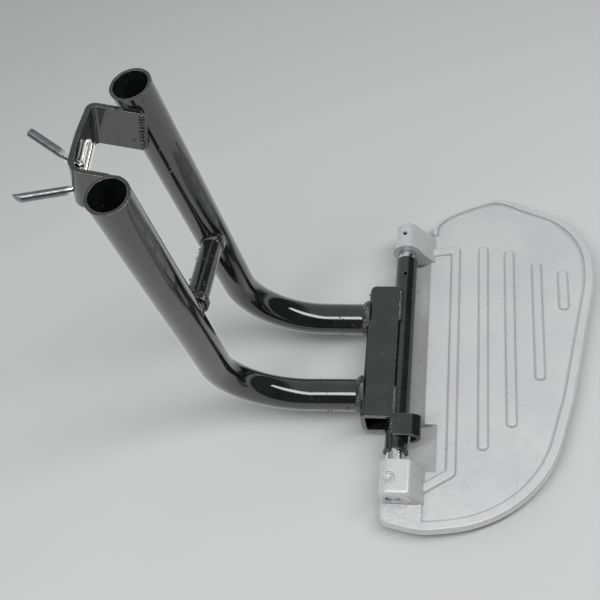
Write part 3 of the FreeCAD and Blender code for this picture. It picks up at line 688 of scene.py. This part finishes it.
floor_mesh = bpy.data.meshes.new("floor")
floor_level = cad_low.z - FLOOR_GAP
floor_mesh.from_pydata([(-FLOOR_HALF, -FLOOR_HALF, floor_level), (FLOOR_HALF, -FLOOR_HALF, floor_level),
                        (FLOOR_HALF, FLOOR_HALF, floor_level), (-FLOOR_HALF, FLOOR_HALF, floor_level)],
                       [], [(0, 1, 2, 3)])
floor = link("floor", floor_mesh)
floor_paper, floor_tree, floor_place = surface("floor_paper")
seen = add(floor_tree, "ShaderNodeLightPath").outputs["Is Camera Ray"]
paper_colour = mix(floor_tree, seen, FLOOR_PALE, FLOOR_SEEN)
paper_normal = add(floor_tree, "ShaderNodeNewGeometry").outputs["Normal"]
paper_normal = bumped(floor_tree, paper_normal, noise(floor_tree, floor_place, PAPER_SPAN, 2.0), PAPER_DEPTH)
paper = add(floor_tree, "ShaderNodeBsdfDiffuse", {"Color": paper_colour, "Normal": paper_normal})
lit_paper = add(floor_tree, "ShaderNodeEmission", {"Color": WHITE, "Strength": 1.0})
mirrored = math_node(floor_tree, "MULTIPLY", add(floor_tree, "ShaderNodeLightPath").outputs["Is Glossy Ray"],
                     FLOOR_MIRRORED)
paper_mix = add(floor_tree, "ShaderNodeMixShader", {0: mirrored, 1: paper.outputs[0], 2: lit_paper.outputs[0]})
far_off = levels(floor_tree, vector_node(floor_tree, "LENGTH", floor_place), FADE_NEAR, FADE_FAR)
far_paper = add(floor_tree, "ShaderNodeEmission", {"Color": WALL_SEEN, "Strength": 1.0})
paper_fade = add(floor_tree, "ShaderNodeMixShader",
                 {0: math_node(floor_tree, "MULTIPLY", far_off, seen), 1: paper_mix.outputs[0],
                  2: far_paper.outputs[0]})
add(floor_tree, "ShaderNodeOutputMaterial", {"Surface": paper_fade.outputs[0]})
floor_mesh.materials.append(floor_paper)

studio = bpy.data.worlds.new("studio")
bpy.context.scene.world = studio
studio.use_nodes = True
sky = studio.node_tree
sky.nodes.clear()
way = add(sky, "ShaderNodeSeparateXYZ", {0: add(sky, "ShaderNodeTexCoord").outputs["Generated"]})
behind = levels(sky, way.outputs["Y"], BEHIND_FROM, BEHIND_FULL)
to_left = levels(sky, way.outputs["X"], LEFT_FROM, LEFT_FULL)
wall = levels(sky, math_node(sky, "MULTIPLY", behind, to_left), 0.0, 1.0, SKY_DARK, SKY_BRIGHT)
glow = add(sky, "ShaderNodeBackground", {"Color": SKY_TINT, "Strength": wall})
pale = add(sky, "ShaderNodeBackground", {"Color": WALL_SEEN, "Strength": 1.0})
direct = add(sky, "ShaderNodeLightPath").outputs["Is Camera Ray"]
shown = add(sky, "ShaderNodeMixShader", {0: direct, 1: glow.outputs[0], 2: pale.outputs[0]})
add(sky, "ShaderNodeOutputWorld", {"Surface": shown.outputs[0]})


def soft_box(name, place, target, width, length, radiance):
    light = bpy.data.lights.new(name, "AREA")
    light.shape = "RECTANGLE"
    light.size = length
    light.size_y = width
    light.energy = radiance * math.pi * width * length
    box = bpy.data.objects.new(name, light)
    box.location = place
    aim = Vector(target) - Vector(place)
    box.rotation_euler = aim.to_track_quat("-Z", "Y").to_euler()
    bpy.context.scene.collection.objects.link(box)


soft_box("long_box", BOX_PLACE, BOX_TARGET, BOX_WIDTH, BOX_LENGTH, BOX_RADIANCE)

eye = bpy.data.cameras.new("eye")
eye.lens = EYE_LENS
eye.sensor_width = SENSOR
eye.shift_x, eye.shift_y = EYE_SHIFT
camera = bpy.data.objects.new("camera", eye)
camera.location = EYE_PLACE
camera.rotation_euler = Euler([math.radians(degrees) for degrees in EYE_TURN], "XYZ")
bpy.context.scene.collection.objects.link(camera)
bpy.context.scene.camera = camera
bpy.context.scene.view_settings.view_transform = "Standard"
